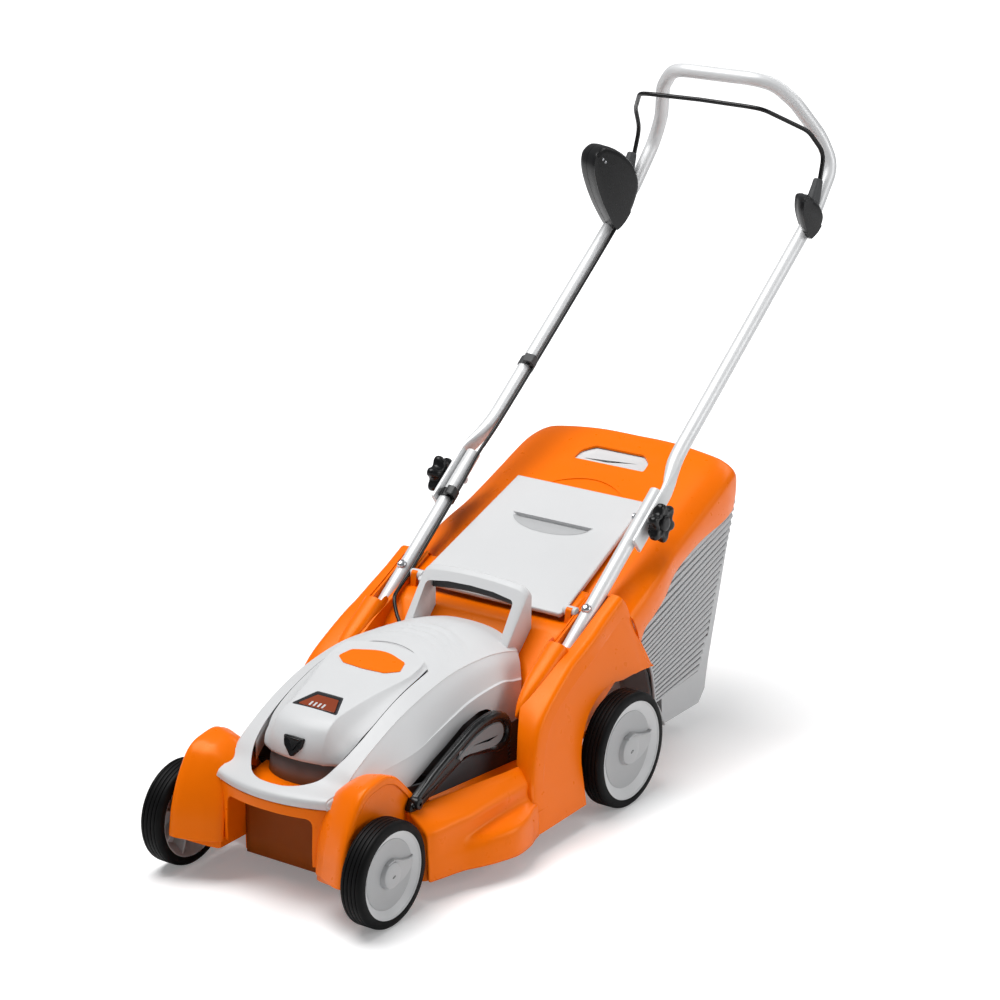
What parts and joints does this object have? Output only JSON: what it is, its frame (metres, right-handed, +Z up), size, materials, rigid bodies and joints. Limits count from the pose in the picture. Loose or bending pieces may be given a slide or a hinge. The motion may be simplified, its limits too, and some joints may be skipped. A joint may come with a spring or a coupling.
{
  "type": "cordless lawn mower",
  "caption": "Cordless walk-behind lawn mower with a moulded deck, height lever, louvred grass catcher, rear flap and a folding tube handle with a bail switch.",
  "frame": {"origin": "on the ground under the middle of the whole mower", "axes": "+Z up, -Y forward (the way it mows), +X to the operator's left; the handle leans back to +Y"},
  "size_m": [0.4876, 1.2768, 0.9628],
  "materials": {
    "orange_paint": "gloss",
    "light_grey_plastic": "satin",
    "dark_grey_plastic": "matt",
    "black_plastic": "satin",
    "tyre_rubber": "matt",
    "wheel_plastic": "satin",
    "cap_plastic": "satin",
    "basket_plastic": "matt",
    "silver_tube": "satin lacquer",
    "steel": "zinc plated",
    "red_plastic": "satin",
    "window_plastic": "gloss"
  },
  "bodies": {
    "mower_body": {"deck": "orange_paint", "motor_base": "dark_grey_plastic", "motor_housing": "light_grey_plastic", "carry_handle": "light_grey_plastic", "motor": "dark_grey_plastic", "battery_bay": "dark_grey_plastic", "battery_pack": "black_plastic", "safety_key": "red_plastic", "control_box": "steel", "height_rack": "dark_grey_plastic", "flap_hinge_pin": "steel", "lower_tube_left": "silver_tube", "lower_tube_right": "silver_tube", "tube_bolt_left": "steel", "tube_bolt_right": "steel", "clamp_bolt_left": "steel", "clamp_bolt_right": "steel", "cable_lower": "black_plastic", "cable_hook": "black_plastic"},
    "blade_rotor": {"blade": "steel", "motor_shaft": "steel", "blade_bolt": "steel"},
    "front_axle_assembly": {"front_axle": "steel"},
    "rear_axle_assembly": {"rear_axle": "steel"},
    "height_lever": {"height_lever": "black_plastic"},
    "upper_handle_assembly": {"upper_handle": "silver_tube", "switch_box": "black_plastic", "switch_box_cover": "black_plastic", "pivot_box": "black_plastic", "bail_boot_left": "tyre_rubber", "bail_boot_right": "tyre_rubber", "cable_upper": "black_plastic", "cable_clip": "dark_grey_plastic"},
    "bail": {"bail": "black_plastic"},
    "start_button": {"start_button": "orange_paint"},
    "battery_cover_assembly": {"battery_cover": "light_grey_plastic", "status_window": "window_plastic", "badge_plate": "orange_paint"},
    "cover_latch": {"cover_latch": "black_plastic"},
    "rear_flap": {"rear_flap": "light_grey_plastic"},
    "grass_catcher": {"catcher_lid": "orange_paint", "catcher_basket": "basket_plastic", "basket_grille_left": "basket_plastic", "basket_grille_right": "basket_plastic", "basket_grille_rear": "basket_plastic", "grip_insert": "light_grey_plastic"},
    "knob_left": {"clamp_knob_left": "black_plastic"},
    "knob_right": {"clamp_knob_right": "black_plastic"},
    "front_left_wheel_assembly": {"front_left_tyre": "tyre_rubber", "front_left_wheel": "wheel_plastic", "front_left_cap": "cap_plastic"},
    "front_right_wheel_assembly": {"front_right_tyre": "tyre_rubber", "front_right_wheel": "wheel_plastic", "front_right_cap": "cap_plastic"},
    "rear_left_wheel_assembly": {"rear_left_tyre": "tyre_rubber", "rear_left_wheel": "wheel_plastic", "rear_left_cap": "cap_plastic"},
    "rear_right_wheel_assembly": {"rear_right_tyre": "tyre_rubber", "rear_right_wheel": "wheel_plastic", "rear_right_cap": "cap_plastic"}
  },
  "joints": [
    {"name": "blade_spin", "type": "hinge", "parent": "mower_body", "child": "blade_rotor", "pos_m": [0, -0.3254, 0.046], "axis": [0, 0, 1], "continuous": true},
    {"name": "lever_swing", "type": "hinge", "parent": "mower_body", "child": "height_lever", "pos_m": [0.157, -0.4684, 0.137], "axis": [-1, 0, 0], "range_deg": [0, 9]},
    {"name": "front_axle_turn", "type": "hinge", "parent": "mower_body", "child": "front_axle_assembly", "pos_m": [0, -0.5154, 0.055], "axis": [1, 0, 0], "range_deg": [0, 45]},
    {"name": "rear_axle_turn", "type": "hinge", "parent": "mower_body", "child": "rear_axle_assembly", "pos_m": [0, -0.0094, 0.067], "axis": [1, 0, 0], "range_deg": [0, 45]},
    {"name": "front_left_roll", "type": "hinge", "parent": "front_axle_assembly", "child": "front_left_wheel_assembly", "pos_m": [0.1745, -0.5634, 0.075], "axis": [1, 0, 0], "continuous": true},
    {"name": "front_right_roll", "type": "hinge", "parent": "front_axle_assembly", "child": "front_right_wheel_assembly", "pos_m": [-0.1745, -0.5634, 0.075], "axis": [1, 0, 0], "continuous": true},
    {"name": "rear_left_roll", "type": "hinge", "parent": "rear_axle_assembly", "child": "rear_left_wheel_assembly", "pos_m": [0.225, -0.0574, 0.087], "axis": [1, 0, 0], "continuous": true},
    {"name": "rear_right_roll", "type": "hinge", "parent": "rear_axle_assembly", "child": "rear_right_wheel_assembly", "pos_m": [-0.225, -0.0574, 0.087], "axis": [1, 0, 0], "continuous": true},
    {"name": "handle_fold", "type": "hinge", "parent": "mower_body", "child": "upper_handle_assembly", "pos_m": [0, 0.08335, 0.38733], "axis": [1, 0, 0], "range_deg": [0, 143]},
    {"name": "knob_left_turn", "type": "hinge", "parent": "mower_body", "child": "knob_left", "pos_m": [0.198, 0.08335, 0.38733], "axis": [1, 0, 0], "continuous": true},
    {"name": "knob_right_turn", "type": "hinge", "parent": "mower_body", "child": "knob_right", "pos_m": [-0.198, 0.08335, 0.38733], "axis": [1, 0, 0], "continuous": true},
    {"name": "bail_swing", "type": "hinge", "parent": "upper_handle_assembly", "child": "bail", "pos_m": [0, 0.5736, 0.783], "axis": [-1, 0, 0], "range_deg": [0, 17], "stiffness_Nm_per_rad": 1.2, "springref_deg": -14.32},
    {"name": "start_press", "type": "slide", "parent": "upper_handle_assembly", "child": "start_button", "axis": [1, 0, 0], "range_m": [0, 0.003], "stiffness_N_per_m": 400, "springref_m": -0.004},
    {"name": "cover_open", "type": "hinge", "parent": "mower_body", "child": "battery_cover_assembly", "pos_m": [0, -0.2754, 0.276], "axis": [-1, 0, 0], "range_deg": [0, 75]},
    {"name": "latch_press", "type": "slide", "parent": "battery_cover_assembly", "child": "cover_latch", "axis": [0, 0.8406, -0.5417], "range_m": [0, 0.003], "stiffness_N_per_m": 400, "springref_m": -0.004},
    {"name": "flap_lift", "type": "hinge", "parent": "mower_body", "child": "rear_flap", "pos_m": [0, -0.0614, 0.282], "axis": [1, 0, 0], "range_deg": [0, 70], "stiffness_Nm_per_rad": 0.4, "springref_deg": -17.19},
    {"name": "catcher_pull", "type": "slide", "parent": "mower_body", "child": "grass_catcher", "axis": [0, 1, 0], "range_m": [0, 0.45]}
  ],
  "couplings": [
    {"joint": "front_axle_turn", "follows": "lever_swing", "ratio": 5},
    {"joint": "rear_axle_turn", "follows": "lever_swing", "ratio": 5}
  ]
}
